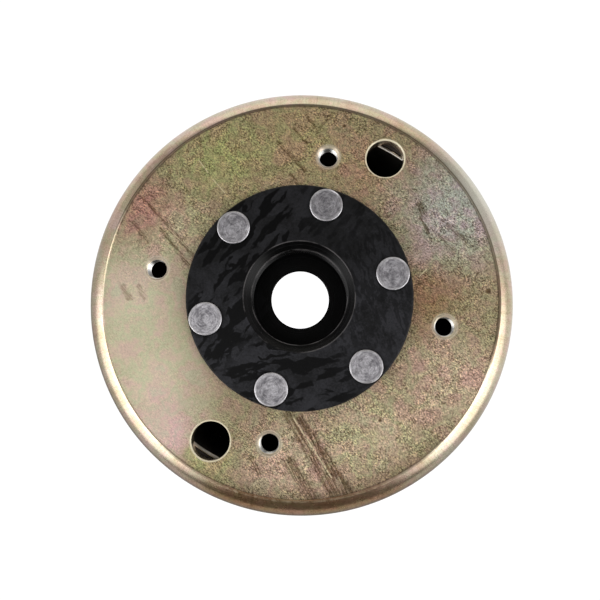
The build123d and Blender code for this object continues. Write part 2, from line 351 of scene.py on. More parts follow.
# ---------------------------------------------------------------- materials
class Shader:
    """Builds one material's nodes from short calls. Lengths are in millimetres."""

    def __init__(self, name):
        self.material = bpy.data.materials.new(name)
        self.material.use_nodes = True
        self.tree = self.material.node_tree
        self.tree.nodes.clear()
        coordinates = self.tree.nodes.new("ShaderNodeTexCoord")
        self.mm = self.vec("SCALE", coordinates.outputs["Object"], scale=1 / MM)
        self.flat = self.vec("MULTIPLY", self.mm, (1, 1, 0))

    def _feed(self, socket, value):
        if isinstance(value, bpy.types.NodeSocket):
            self.tree.links.new(value, socket)
        elif hasattr(value, "__len__") and len(value) == 3 and socket.type == "RGBA":
            socket.default_value = (*value, 1)
        else:
            socket.default_value = value

    def node(self, kind, output=0, **inputs):
        made = self.tree.nodes.new(kind)
        for key, value in inputs.items():
            self._feed(made.inputs[key.replace("_", " ")], value)
        return made.outputs[output]

    def math(self, operation, *values, clamp=False):
        made = self.tree.nodes.new("ShaderNodeMath")
        made.operation, made.use_clamp = operation, clamp
        for socket, value in zip(made.inputs, values):
            self._feed(socket, value)
        return made.outputs[0]

    def add(self, *values):
        total = values[0]
        for value in values[1:]:
            total = self.math("ADD", total, value)
        return total

    def times(self, *values):
        total = values[0]
        for value in values[1:]:
            total = self.math("MULTIPLY", total, value)
        return total

    def most(self, values):
        total = values[0]
        for value in values[1:]:
            total = self.math("MAXIMUM", total, value)
        return total

    def vec(self, operation, *values, scale=None, output=0):
        made = self.tree.nodes.new("ShaderNodeVectorMath")
        made.operation = operation
        for socket, value in zip(made.inputs, values):
            self._feed(socket, value)
        if scale is not None:
            self._feed(made.inputs["Scale"], scale)
        return made.outputs[output]

    def ramp(self, value, low, high, to_low=0.0, to_high=1.0):
        """A smooth step from low to high."""
        made = self.tree.nodes.new("ShaderNodeMapRange")
        made.interpolation_type = "SMOOTHSTEP"
        for socket, v in zip(made.inputs, (value, low, high, to_low, to_high)):
            self._feed(socket, v)
        return made.outputs[0]

    def between(self, value, start, full, fading, gone):
        """1 between two values, with a smooth step at either end."""
        return self.times(self.ramp(value, start, full), self.ramp(value, fading, gone, 1.0, 0.0))

    def inverse(self, mask):
        return self.math("SUBTRACT", 1.0, mask)

    def tinted(self, factor, colour, tint):
        """A colour multiplied by a tint, as far as the factor says."""
        return self.mix(factor, colour, tint, "MULTIPLY")

    def mix(self, factor, a, b, blend="MIX"):
        made = self.tree.nodes.new("ShaderNodeMix")
        made.data_type, made.blend_type = "RGBA", blend
        for index, value in ((0, factor), (6, a), (7, b)):
            self._feed(made.inputs[index], value)
        return made.outputs[2]

    def bands(self, value, *stops):
        """A colour for each value, from (value, colour) stops."""
        made = self.tree.nodes.new("ShaderNodeValToRGB")
        self._feed(made.inputs[0], value)
        elements = made.color_ramp.elements
        for n, (position, colour) in enumerate(stops):
            stop = elements[n] if n < 2 else elements.new(position)
            stop.position, stop.color = position, (*colour, 1)
        return made.outputs[0]

    def noise(self, scale, vector=None, detail=2.0, roughness=0.5, output="Fac", offset=0.0):
        """Scale is in cycles per millimetre."""
        vector = vector or self.mm
        if offset:
            vector = self.vec("ADD", vector, (offset, offset / 3, 0))
        return self.node(
            "ShaderNodeTexNoise", output, Vector=vector, Scale=scale, Detail=detail, Roughness=roughness
        )

    def shards(self, scale, vector):
        """A random value for each straight-edged cell."""
        return self.split(self.node("ShaderNodeTexVoronoi", "Color", Vector=vector, Scale=scale))[0]

    def stretched(self, angle, along, across, vector=None):
        """Coordinates turned by an angle about Z and scaled, so that noise in them runs along that angle."""
        made = self.tree.nodes.new("ShaderNodeMapping")
        made.vector_type = "TEXTURE"
        self._feed(made.inputs["Vector"], vector or self.mm)
        made.inputs["Rotation"].default_value = (0, 0, radians(angle))
        made.inputs["Scale"].default_value = (along, across, across)
        return made.outputs[0]

    def moved(self, scale, distance, detail=2.0):
        """A random shift of up to half a distance."""
        colour = self.noise(scale, detail=detail, output="Color")
        return self.vec("SCALE", self.vec("SUBTRACT", colour, (0.5, 0.5, 0.5)), scale=distance)

    def split(self, vector):
        made = self.tree.nodes.new("ShaderNodeSeparateXYZ")
        self._feed(made.inputs[0], vector)
        return made.outputs

    def around(self, across, along):
        """Coordinates on the wall of a cylinder: cycles per turn, and cycles per millimetre of height."""
        x, y, z = self.split(self.mm)
        turn = self.math("DIVIDE", self.math("ARCTAN2", y, x), tau)
        return self.node("ShaderNodeCombineXYZ", X=self.times(turn, across), Y=self.times(z, along))

    def radius(self):
        return self.vec("LENGTH", self.flat, output="Value")

    def spot(self, x, y, radius, vector=None, soft=1.0):
        """1 at a point on the face, falling to 0 at a radius."""
        d = self.vec("DISTANCE", vector or self.flat, (x, y, 0), output="Value")
        return self.ramp(d, radius * (1 - soft), radius, 1.0, 0.0)

    def spots(self, centres, radius, soft):
        return self.most([self.spot(x, y, radius, soft=soft) for x, y in centres])

    def stroke(self, x0, y0, x1, y1, width, strength, vector):
        """A line between two points on the face, falling to 0 at half its width."""
        a, b = Vector((x0, y0, 0)), Vector((x1, y1, 0))
        rel = self.vec("SUBTRACT", vector, a)
        along = self.vec("DOT_PRODUCT", rel, (b - a) / (b - a).length_squared, output="Value")
        near = self.vec("SCALE", tuple(b - a), scale=self.math("MULTIPLY", along, 1.0, clamp=True))
        gap = self.vec("DISTANCE", rel, near, output="Value")
        return self.ramp(gap, width * 0.2, width / 2, strength, 0.0)

    def finish(self, colour, roughness, height, distance, metallic=1.0, **constants):
        """Distance is the height, in millimetres, that a height of 1 stands for."""
        bsdf = self.tree.nodes.new("ShaderNodeBsdfPrincipled")
        self._feed(bsdf.inputs["Base Color"], colour)
        self._feed(bsdf.inputs["Roughness"], roughness)
        self._feed(bsdf.inputs["Metallic"], metallic)
        for key, value in constants.items():
            bsdf.inputs[key.replace("_", " ")].default_value = value
        bump = self.node("ShaderNodeBump", Strength=1.0, Distance=distance * MM, Height=height)
        self._feed(bsdf.inputs["Normal"], bump)
        out = self.tree.nodes.new("ShaderNodeOutputMaterial")
        self.tree.links.new(bsdf.outputs[0], out.inputs["Surface"])
        return self.material


def srgb(r, g, b):
    """A colour given as 0 to 255 display values, in linear light."""
    return tuple((c / 255 / 12.92) if c < 10.3 else ((c / 255 + 0.055) / 1.055) ** 2.4 for c in (r, g, b))


# Hues of the chromate film, in degrees
ROSE, BROWN, STRAW, OLIVE = 15, 30, 45, 60


def film(hue, depth):
    """A colour of the chromate film, which is both stronger and darker where it is deeper."""
    return srgb(*(255 * part for part in hsv_to_rgb(hue / 360, depth / 10, 1 - depth / 10)))


BARE = srgb(192, 192, 192)  # where hardly any film took
WASH = 0.85
# Washes of colour over the face, by the clock: hour, distance from the centre and radius in mm, colour
WASHES = [
    (12, 45, 30, film(STRAW, 3)),
    (11, 45, 20, film(OLIVE, 3)),
    (1, 40, 20, film(BROWN, 3)),
    (10, 40, 15, film(STRAW, 2)),
    (10, 50, 15, film(ROSE, 3)),
    (9, 45, 25, film(STRAW, 1.5)),
    (8, 45, 25, film(STRAW, 1.5)),
    (7.5, 50, 15, film(ROSE, 1.5)),
    (7, 50, 10, film(OLIVE, 3)),
    (6, 45, 20, film(BROWN, 2)),
    (5, 40, 20, film(STRAW, 2)),
    (4, 45, 20, film(BROWN, 2)),
    (3, 35, 15, film(BROWN, 4)),
    (2, 50, 25, BARE),
]
# Dark scuffs on the face, in groups that run one way: angle, then x0, y0, x1, y1, width in mm, strength
SCUFFS = [
    (-62, [
        (-3, -31.5, 9, -52.5, 3.6, 1.0),
        (0, -33, 13.5, -52.5, 4.0, 1.0),
        (6, -44.5, 13, -53, 4.5, 0.9),
        (-2.5, -44, 3.5, -53.5, 4.5, 0.9),
        (-13, -42.5, -10.5, -47, 1.5, 1.0),
        (33, 22.5, 36, 15.5, 1.2, 0.9),
        (33, 25.5, 34, 23, 3.0, 0.9),
    ]),
    (-44, [
        (-6, 43.5, 1.5, 35.5, 1.6, 0.8),
        (-1.5, 47.5, 2, 43, 1.2, 0.9),
        (2.5, 50.5, 4.5, 48, 1.2, 0.9),
        (-2.5, 34.5, 0, 31, 1.4, 0.9),
        (-43.5, 28, -29, 11.5, 1.4, 0.9),
        (-46, 21, -42, 15.5, 1.6, 0.7),
        (-38.5, 19.5, -30.5, 9, 1.4, 0.9),
        (-48.5, 3, -46.5, 0, 2.6, 0.6),
        (-44, 3, -42.5, 0, 2.2, 0.5),
        (40.5, 19.5, 47, 14, 1.8, 0.8),
        (38, 17, 42, 12, 1.2, 0.6),
    ]),
    (30, [
        (9, 35.5, 20, 39.5, 1.2, 0.5),
        (-16, 34.5, -4, 36.5, 1.2, 0.4),
        (4.5, 46, 9, 51.5, 1.4, 0.6),
    ]),
]
# Small dark pits: x, y, radius in mm
PITS = [(51, 1.5, 0.9), (21.5, -33, 0.6), (-36, 44, 0.7), (12.5, 48, 0.6)]
# Bright scratches: x0, y0, x1, y1, width in mm, strength
SCRATCHES = [
    (-28, 38.5, -25.5, 35, 0.4, 0.9),
    (-24, 33, -20.5, 29, 0.4, 0.9),
    (-12, 30, -2.5, 33.5, 0.2, 0.5),
    (32.5, 5.5, 34.5, 7.5, 0.4, 0.9),
    (-37, 20, -30, 13, 0.3, 0.6),
    (-1.5, -32.5, 8.5, -48, 0.5, 0.9),
    (-9, -33, -3, -45, 0.3, 0.4),
]
FAN_HOLES_AT = ring_of(FAN_CIRCLE, 4, FAN_ANGLE)
HOLDER_HOLES_AT = ring_of(HOLDER_CIRCLE, 2, HOLDER_ANGLE)
RIVETS_AT = ring_of(RIVET_CIRCLE, RIVETS, RIVET_ANGLE)
ZINC_SILVER = (0.52, 0.52, 0.51)

# Tints that multiply the zinc's colour
DARK_SPECK, LIGHT_SPECK = (0.34, 0.27, 0.21), (1.5, 1.5, 1.48)
PEPPER, SALT = (0.31, 0.26, 0.21), (1.75, 1.72, 1.5)
SCUFFED = (0.3, 0.24, 0.18)
GROOVE_SHADE = (0.2, 0.18, 0.155)
EDGE_SHADE = (0.42, 0.38, 0.32)
DRAWN_LINE, SCORED_LINE = (0.66, 0.6, 0.52), (0.5, 0.44, 0.38)
LOW_SHEET_SHADE = (0.72, 0.52, 0.34)
SHEET_SPECK = (0.5, 0.4, 0.3)
LUG_SHADE, LUG_ROOT_SHADE = (0.42, 0.35, 0.28), (0.45, 0.38, 0.3)

# Places on the zinc: x, y, radius in mm
CLEAN_AREA = (-46, -16, 44)
COOL_AREA = (50, 29, 26)


def scuffs(s):
    """Where the face is scuffed dark or pitted."""
    marks = []
    for angle, strokes in SCUFFS:
        streaks = s.ramp(s.noise(1.0, s.stretched(angle, 5.5, 0.34), detail=4, roughness=0.65), 0.42, 0.54)
        shaken = s.vec("MULTIPLY", s.vec("ADD", s.mm, s.moved(0.9, 1.4)), (1, 1, 0))
        band = s.most([s.stroke(*stroke, shaken) for stroke in strokes])
        marks.append(s.times(band, s.add(s.times(streaks, 0.75), 0.25)))
    return s.most(marks + [s.spot(*pit, soft=0.4) for pit in PITS])


def turned_face(s, hues, tone, fine, scuff):
    """The face's colour: washes, then clouds, then specks, then marks, then painted shade along the lower
    edge.
    """
    shift = s.vec("ADD", s.moved(0.09, 11, 3), s.moved(0.5, 3.0))
    bent = s.vec("MULTIPLY", s.vec("ADD", s.mm, shift), (1, 1, 0))
    face = srgb(164, 151, 124)
    for hour, distance, radius, tint in WASHES:
        face = s.mix(s.times(s.spot(*polar(distance, 90 - 30 * hour), radius, bent), WASH), face, tint)
    face = s.tinted(1.0, face, s.tinted(1.0, hues, (1.08, 1.08, 1.12)))
    rough_cloud = s.ramp(s.noise(0.22, detail=4, roughness=0.6, offset=40), 0.38, 0.62)
    clean = s.spot(*CLEAN_AREA, bent, 0.6)
    speck_power = s.times(s.inverse(s.times(clean, 0.82)), s.add(s.times(rough_cloud, 0.45), 0.6))
    for mask, strength, tint in (
        (s.ramp(tone, 0.42, 0.50, 1.0, 0.0), 0.95, DARK_SPECK),
        (s.ramp(tone, 0.49, 0.58), 0.6, LIGHT_SPECK),
        (s.ramp(fine, 0.40, 0.47, 1.0, 0.0), 0.95, PEPPER),
        (s.ramp(fine, 0.54, 0.62), 0.85, SALT),
    ):
        face = s.tinted(s.times(mask, speck_power, strength), face, tint)
    face = s.tinted(s.times(scuff, 0.95), face, SCUFFED)
    scratch = s.most([s.stroke(*stroke, s.flat) for stroke in SCRATCHES])
    scratch = s.times(scratch, s.ramp(s.noise(1.5), 0.34, 0.46))
    face = s.mix(s.times(scratch, 0.75), face, srgb(238, 226, 186))
    x, y, _ = s.split(s.mm)
    # Painted shade: the face darker along its lower edge
    low_edge = s.times(
        s.ramp(s.radius(), TURNED_RADIUS - 4.5, TURNED_RADIUS - 0.5),
        s.ramp(s.add(y, s.times(x, -0.15)), -38, -50),
    )
    return s.tinted(s.times(low_edge, 0.5), face, EDGE_SHADE)


def painted_groove_shade(s):
    """Painted shade: a dark line round the turned face where the step is, on the upper right side and,
    weaker, at the bottom.
    """
    x, y, z = s.split(s.mm)
    line = s.between(
        s.radius(), TURNED_RADIUS - 0.65, TURNED_RADIUS - 0.2, TURNED_RADIUS + 0.25, TURNED_RADIUS + 0.55
    )
    top = s.ramp(z, FACE_Z - 0.3, FACE_Z - 0.2)
    upper_right = s.ramp(s.add(y, s.times(x, 0.37)), -8, 10)
    return s.times(line, top, s.most([upper_right, s.ramp(y, -36, -46, 0.0, 0.6)]))


def beside_lug(s):
    """Distance from the lug's outline along the wall, in millimetres, below 0 on the lug."""
    toward, across = (
        s.vec("DOT_PRODUCT", s.mm, (*polar(1, angle), 0), output="Value")
        for angle in (LUG_ANGLE, LUG_ANGLE + 90)
    )
    sideways = s.times(s.math("ABSOLUTE", s.math("ARCTAN2", across, toward)), CUP_RADIUS)
    rise = s.math("ABSOLUTE", s.add(s.split(s.mm)[2], -(LUG_LOW + LUG_HIGH) / 2))
    return s.most([
        s.add(sideways, -radians(LUG_SWEEP / 2) * CUP_RADIUS),
        s.add(rise, (LUG_LOW - LUG_HIGH) / 2),
    ])


def lug_shade_and_wear(s, sheet, coarse):
    """Painted shade round the lug and at its root, and bright rubbed edges on it."""
    r = s.radius()
    off_lug = beside_lug(s)
    wall = s.ramp(r, CUP_RADIUS - 0.5, CUP_RADIUS - 0.3)
    # Painted shade on the wall round the lug
    lug_shade = s.times(s.between(off_lug, -0.3, 0.0, 0.0, 2.2), wall)
    sheet = s.tinted(s.times(lug_shade, 0.8), sheet, LUG_SHADE)
    proud = s.ramp(r, CUP_RADIUS + 0.7, CUP_RADIUS + 1.1)
    rubbed = s.times(s.ramp(off_lug, -1.3, -0.5), proud, s.ramp(coarse, 0.36, 0.5))
    sheet = s.mix(s.times(rubbed, 0.65), sheet, srgb(238, 226, 198))
    # Painted shade on the lug at its root
    root = s.between(r, CUP_RADIUS + 0.02, CUP_RADIUS + 0.1, CUP_RADIUS + 0.2, CUP_RADIUS + 0.9)
    return s.tinted(s.times(root, 0.6), sheet, LUG_ROOT_SHADE)


def drawn_sheet(s, hues, tone, coarse, drawn):
    """The colour of the corner, the wall and the inside, with painted shade and a painted highlight on the
    bottom side and painted shade round the lug.
    """
    _, y, z = s.split(s.mm)
    sheet = s.mix(s.ramp(s.noise(0.12, detail=3), 0.35, 0.65), srgb(200, 183, 157), srgb(212, 199, 180))
    sheet = s.tinted(0.75, sheet, s.tinted(1.0, hues, (1.1, 1.1, 1.16)))
    brown = s.ramp(s.noise(0.3, detail=5, roughness=0.65), 0.55, 0.75)
    sheet = s.mix(s.times(brown, 0.4), sheet, srgb(156, 132, 104))
    scored = s.ramp(s.noise(1.0, s.around(320, 0.02), detail=3, roughness=0.7), 0.6, 0.68)
    sheet = s.tinted(s.times(drawn, 0.22), sheet, DRAWN_LINE)
    sheet = s.tinted(s.times(scored, 0.3), sheet, SCORED_LINE)
    # Painted shade: the upper corner darker and browner on the bottom side
    below = s.times(s.ramp(y, -45, -54), s.ramp(z, FACE_Z - 5, FACE_Z - 1.5))
    sheet = s.tinted(s.times(below, 0.85), sheet, LOW_SHEET_SHADE)
    # Painted highlight: a bright broken line on the shoulder at the step, on the bottom side
    shoulder = s.between(
        s.radius(), TURNED_RADIUS - 0.1, TURNED_RADIUS + 0.1, TURNED_RADIUS + 0.4, TURNED_RADIUS + 0.7
    )
    lighter_edge = s.times(shoulder, s.ramp(y, -46, -52), s.ramp(coarse, 0.4, 0.55))
    sheet = s.mix(s.times(lighter_edge, 0.8), sheet, srgb(226, 204, 172))
    specks = s.times(s.ramp(tone, 0.42, 0.52, 1.0, 0.0), s.add(s.times(below, 0.4), 0.3))
    sheet = s.tinted(specks, sheet, SHEET_SPECK)
    cool = s.times(s.spot(*COOL_AREA), s.ramp(z, FACE_Z - 8, FACE_Z - 3))
    return lug_shade_and_wear(s, s.mix(s.times(cool, 0.8), sheet, srgb(218, 217, 204)), coarse)


def yellow_zinc():
    """Zinc plate with a yellow chromate film, over a turned face and a drawn wall."""
    s = Shader("yellow_zinc")
    z = s.split(s.mm)[2]
    r = s.radius()
    coarse = s.noise(0.75, detail=5, roughness=0.72)
    brushed = s.stretched(-42, 1.45, 0.8)
    grain = s.noise(2.4, brushed, detail=2, roughness=0.8)
    fine = s.noise(3.4, brushed, detail=2, roughness=0.6, offset=9)
    tone = s.add(s.times(coarse, 0.35), s.times(grain, 0.65))
    thickness = s.add(s.times(s.noise(0.11, detail=5, roughness=0.6), 0.93), s.times(coarse, 0.07))
    hues = s.bands(
        thickness, (0.36, (0.90, 0.94, 0.88)), (0.42, (1.0, 0.86, 0.90)), (0.47, (0.96, 0.92, 0.86)),
        (0.52, (0.86, 0.95, 0.82)), (0.57, (0.98, 0.92, 0.88)), (0.63, (1.0, 0.84, 0.90)),
    )
    scuff = scuffs(s)
    drawn = s.ramp(s.noise(1.0, s.around(700, 0.06), detail=4, roughness=0.6), 0.46, 0.62)
    groove_shade = painted_groove_shade(s)
    on_face = s.times(
        s.ramp(z, FACE_Z - 0.12, FACE_Z - 0.05),
        s.ramp(r, TURNED_RADIUS - 0.3, TURNED_RADIUS - 0.1, 1.0, 0.0),
    )
    sheet = drawn_sheet(s, hues, tone, coarse, drawn)
    colour = s.mix(on_face, sheet, turned_face(s, hues, tone, fine, scuff))
    # Painted shade along the step round the turned face
    colour = s.tinted(s.times(groove_shade, 0.9), colour, GROOVE_SHADE)

    # Painted highlight round the fan holes' countersinks
    fan_rim_highlight = s.spots(FAN_HOLES_AT, FAN_SINK + 0.6, 0.16)
    colour = s.mix(s.times(fan_rim_highlight, 0.42), colour, srgb(240, 230, 206))
    # The film is thin in the tapped holes, which show silver zinc
    tapped = s.spots(FAN_HOLES_AT, FAN_SINK - 0.05, 0.03)
    threaded = s.times(tapped, s.ramp(z, FACE_Z - 0.6, FACE_Z - 0.8, 0.0, 1.0))
    colour = s.mix(s.times(threaded, 0.95), colour, ZINC_SILVER)
    # Painted highlight on the holder holes' chamfers
    holder_chamfer_highlight = s.times(s.spots(HOLDER_HOLES_AT, HOLDER_SINK + 0.1, 0.02), s.ramp(z, FACE_Z - 0.5, FACE_Z - 0.4))
    colour = s.mix(holder_chamfer_highlight, colour, srgb(240, 230, 200))
    # Painted shade: the cup darker inside, below the floor and within the inner wall
    inside = s.ramp(z, FLOOR_Z - 0.2, FLOOR_Z + 0.1, 1.0, 0.0)
    off_wall = s.ramp(r, INNER_RADIUS + 0.5, INNER_RADIUS + 1.0, 0.75, 0.0)
    colour = s.mix(s.times(inside, off_wall), colour, srgb(120, 108, 86))
    on_face = s.times(on_face, s.inverse(s.most([tapped, holder_chamfer_highlight])))

    roughness = s.add(
        s.times(s.noise(0.4, detail=4), 0.16), s.times(on_face, 0.2), s.times(fine, 0.08),
        s.times(groove_shade, 0.3), 0.13,
    )
    height = s.add(s.times(coarse, 0.4), s.times(grain, 0.45), s.times(fine, 0.15))
    height = s.times(height, s.add(s.times(on_face, 0.85), 0.15))
    height = s.add(height, s.times(scuff, on_face, -0.3), s.times(drawn, s.inverse(on_face), -0.05))
    sunk = s.times(tapped, s.inverse(threaded))
    metallic = s.add(s.ramp(on_face, 0.0, 1.0, 0.92, 0.6), s.times(holder_chamfer_highlight, -0.82), s.times(sunk, -0.5))
    return s.finish(colour, roughness, height, 0.035, metallic)


# Oil smears on the hub: angle, length and width as stretches, threshold
OIL_SMEARS = ((52, 3.6, 0.95, 0.575), (-72, 1.6, 0.42, 0.6), (8, 3.4, 0.9, 0.62))


def black_oxide():
    """Oiled black oxide: dull where dry, black where the oil lies in straight-edged smears."""
    s = Shader("black_oxide")
    x, y, z = s.split(s.mm)
    r = s.radius()
    fine = s.noise(1.8, detail=4, roughness=0.7)
    bent = s.vec("ADD", s.mm, s.moved(0.25, 2.4))
    wet = []
    for angle, along, across, cut in OIL_SMEARS:
        turned = s.stretched(angle, along, across, bent)
        smear = s.add(s.times(s.shards(0.6, turned), 0.46), s.times(s.noise(0.5, turned, 3, 0.55), 0.68))
        wet.append(s.ramp(smear, cut, cut + 0.035))
    up_left = s.ramp(s.add(y, s.times(x, -1.0)), -4, 6)
    low = s.ramp(s.add(y, s.times(x, 0.25)), -6, -16)
    smear = s.mix(up_left, s.mix(low, wet[1], wet[2]), wet[0])
    right = s.ramp(s.add(x, s.times(y, 0.3)), 2, 12, 1.0, 0.6)
    smear = s.most([s.times(smear, right), s.spot(6, -22, 4.2, bent, 0.3)])
    haze = s.add(s.times(s.noise(0.13, detail=4, roughness=0.6), 0.6), s.times(fine, 0.4))
    dull = s.mix(s.ramp(haze, 0.38, 0.62), srgb(14, 14, 16), srgb(42, 42, 46))
    colour = s.mix(smear, dull, srgb(12, 12, 13))
    dust = s.ramp(s.noise(2.6, detail=3, roughness=0.7, offset=30), 0.66, 0.74)
    colour = s.mix(s.times(dust, 0.25), colour, srgb(120, 118, 122))
    # Painted shade: the hub darker towards +Y
    colour = s.tinted(s.ramp(y, -6, 12, 0.0, 0.8), colour, (0.42, 0.42, 0.42))
    # Painted shadow round each rivet tail
    rivet_shadow = s.spots(RIVETS_AT, TAIL_RADIUS + 1.1, 0.25)
    colour = s.mix(s.times(rivet_shadow, 0.7), colour, srgb(4, 4, 5))
    lighter_edge = s.ramp(r, HUB_RADIUS - 0.35, HUB_RADIUS - 0.1)
    colour = s.mix(s.times(lighter_edge, s.ramp(fine, 0.5, 0.6), 0.3), colour, srgb(120, 116, 112))
    roughness = s.add(s.times(smear, -0.24), s.times(fine, 0.14), 0.48)

    # Turned recess, and the ground taper bore
    recess = s.times(
        s.ramp(r, MOUTH_RADIUS + 0.2, MOUTH_RADIUS, 0.0, 1.0), s.ramp(z, NUT_SEAT_Z - 0.6, NUT_SEAT_Z - 0.4)
    )
    rings = s.noise(1.0, s.node("ShaderNodeCombineXYZ", X=s.times(r, 3.0), Y=s.times(z, 3.0)), 3)
    ringed = s.mix(s.ramp(rings, 0.58, 0.66), srgb(3, 3, 3), srgb(34, 33, 34))
    colour = s.mix(s.times(recess, 0.9), colour, ringed)
    lip = s.between(r, MOUTH_RADIUS - 0.12, MOUTH_RADIUS, MOUTH_RADIUS + 0.1, MOUTH_RADIUS + 0.3)
    crest = s.times(
        s.ramp(r, THREAD_MINOR + 0.1, THREAD_MINOR + 0.3, 1.0, 0.0), s.ramp(z, NUT_SEAT_Z + 4, HUB_TOP - 2)
    )
    # Painted highlight on the recess mouth's lip and on the thread crests
    lip_and_crest_highlight = s.times(s.most([lip, s.times(crest, recess)]), s.ramp(s.noise(0.16, detail=3), 0.42, 0.6))
    colour = s.mix(s.times(lip_and_crest_highlight, 0.5), colour, srgb(104, 101, 101))
    roughness = s.node("ShaderNodeMix", 0, Factor=recess, A=roughness, B=s.add(s.times(rings, 0.16), 0.16))
    bore = s.times(s.ramp(r, 9.75, 9.9, 1.0, 0.0), s.ramp(z, NUT_SEAT_Z - 0.42, NUT_SEAT_Z - 0.36, 1.0, 0.0))
    ground = s.noise(1.0, s.around(6, 5), 3)
    colour = s.mix(bore, colour, s.mix(ground, (0.86, 0.86, 0.86), (0.94, 0.94, 0.94)))
    roughness = s.node("ShaderNodeMix", 0, Factor=bore, A=roughness, B=s.add(s.times(ground, 0.06), 0.1))
    height = s.add(s.times(fine, 0.5), s.times(smear, 0.15), s.times(recess, rings, 0.2))
    height = s.times(height, s.inverse(bore))
    return s.finish(colour, roughness, height, 0.015, metallic=bore, Specular_IOR_Level=0.18)


def rivet_steel():
    """Bare steel, marked in rings by the rolling punch, with a painted highlight round each tail's edge."""
    s = Shader("rivet_steel")
    blotch = s.noise(0.55, detail=4, roughness=0.6)
    fine = s.noise(2.6, detail=4, roughness=0.7)
    nearest = s.vec("SUBTRACT", s.flat, (*RIVETS_AT[0], 0))
    for x, y in RIVETS_AT[1:]:
        other = s.vec("SUBTRACT", s.flat, (x, y, 0))
        distances = (s.vec("LENGTH", place_of, output="Value") for place_of in (other, nearest))
        closer = s.math("LESS_THAN", *distances)
        made = s.tree.nodes.new("ShaderNodeMix")
        made.data_type = "VECTOR"
        for index, value in ((0, closer), (4, nearest), (5, other)):
            s._feed(made.inputs[index], value)
        nearest = made.outputs[1]
    out = s.vec("LENGTH", s.vec("ADD", nearest, s.moved(0.3, 1.6)), output="Value")
    dx, dy, _ = s.split(nearest)
    turn = s.math("ARCTAN2", dy, dx)
    rings = s.noise(1.0, s.node("ShaderNodeCombineXYZ", X=s.times(out, 2.2), Y=s.times(turn, 1.6)), 5, 0.75)
    tone = s.add(s.times(blotch, 0.45), s.times(rings, 0.55))
    colour = s.mix(s.ramp(tone, 0.36, 0.64), srgb(134, 131, 137), srgb(232, 229, 234))
    colour = s.mix(s.times(s.ramp(fine, 0.36, 0.5, 1.0, 0.0), 0.4), colour, srgb(98, 95, 100))
    # Painted highlight round the edge of each tail
    edge = s.ramp(s.vec("LENGTH", nearest, output="Value"), TAIL_RADIUS - 0.8, TAIL_RADIUS - 0.3)
    colour = s.mix(s.times(edge, 0.45), colour, srgb(240, 238, 240))
    roughness = s.add(s.times(fine, 0.2), s.times(rings, 0.12), 0.24)
    height = s.add(s.times(rings, 0.5), s.times(blotch, 0.35), s.times(fine, 0.15))
    return s.finish(colour, roughness, height, 0.06)


def ferrite():
    """Pressed ferrite: dull, dark grey and finely grained."""
    s = Shader("ferrite")
    fine = s.noise(3.0, detail=4, roughness=0.7)
    colour = s.mix(s.noise(0.3, detail=3), srgb(62, 62, 64), srgb(84, 83, 84))
    colour = s.mix(s.times(s.ramp(fine, 0.55, 0.75), 0.5), colour, srgb(112, 110, 110))
    return s.finish(colour, s.add(s.times(fine, 0.2), 0.5), fine, 0.03, metallic=0.0)


def spacer_plastic():
    """Dark brown moulded plastic."""
    s = Shader("spacer_plastic")
    fine = s.noise(2.2, detail=3)
    colour = s.mix(s.noise(0.25, detail=3), srgb(24, 19, 16), srgb(38, 30, 24))
    return s.finish(colour, s.add(s.times(fine, 0.15), 0.42), fine, 0.02, metallic=0.0)


def liner_steel():
    """Bright steel strip with fine lines round it."""
    s = Shader("liner_steel")
    lines = s.noise(1.0, s.around(30, 3), 4)
    colour = s.mix(lines, srgb(178, 174, 166), srgb(214, 211, 205))
    return s.finish(colour, s.add(s.times(lines, 0.15), 0.24), lines, 0.008)


MAKERS = (yellow_zinc, black_oxide, rivet_steel, ferrite, spacer_plastic, liner_steel)
finishes = {maker.__name__: maker() for maker in MAKERS}
slots = {part["node"]: part["material_slot"] for part in frame["record"]["subparts"]}
for name, obj in cad_nodes.items():
    obj.data.materials.clear()
    obj.data.materials.append(finishes[slots[name]])
for obj, node in zip(made, MADE_FOR):
    obj.data.materials.clear()
    obj.data.materials.append(finishes[slots[node]])


# ---------------------------------------------------------------- floor and light
scene.view_settings.view_transform = "Standard"
FLOOR_RADIUS = 6000.0
GLOW_RADIUS = 17.0
SHADE_WALL, SHADE_TOP = 0.3, 6.9
BACKDROP = 1.05  # the world's white to the camera
FLOOR_SEEN = 0.95  # the floor's glow to the camera
FLOOR_DARK, FLOOR_BRIGHT = 0.12, 0.8  # its glow to the object, on the near side and on the far side
FAR_SIDE = Vector((0.42, 0.91, 0))
NEAR, FAR = -0.055, 0.03  # metres
BEYOND_START, BEYOND_END, BEYOND_GLOW = 0.075, 0.13, 0.42  # its glow to the object further out, on every side


def flat_disc(name, radius, height, segments, material):
    mesh = bpy.data.meshes.new(name)
    ring = [(x * MM, y * MM, height * MM) for x, y in ring_of(radius, segments, 0)]
    mesh.from_pydata(ring, [], [list(range(segments))])
    mesh.materials.append(material)
    obj = place(name, mesh)
    return obj


def glow(name, diffuse, strength):
    material = bpy.data.materials.new(name)
    material.use_nodes = True
    bsdf = material.node_tree.nodes["Principled BSDF"]
    bsdf.inputs["Base Color"].default_value = (diffuse, diffuse, diffuse, 1)
    bsdf.inputs["Roughness"].default_value = 0.9
    bsdf.inputs["Specular IOR Level"].default_value = 0.0
    bsdf.inputs["Emission Color"].default_value = (1, 1, 1, 1)
    bsdf.inputs["Emission Strength"].default_value = strength
    return material


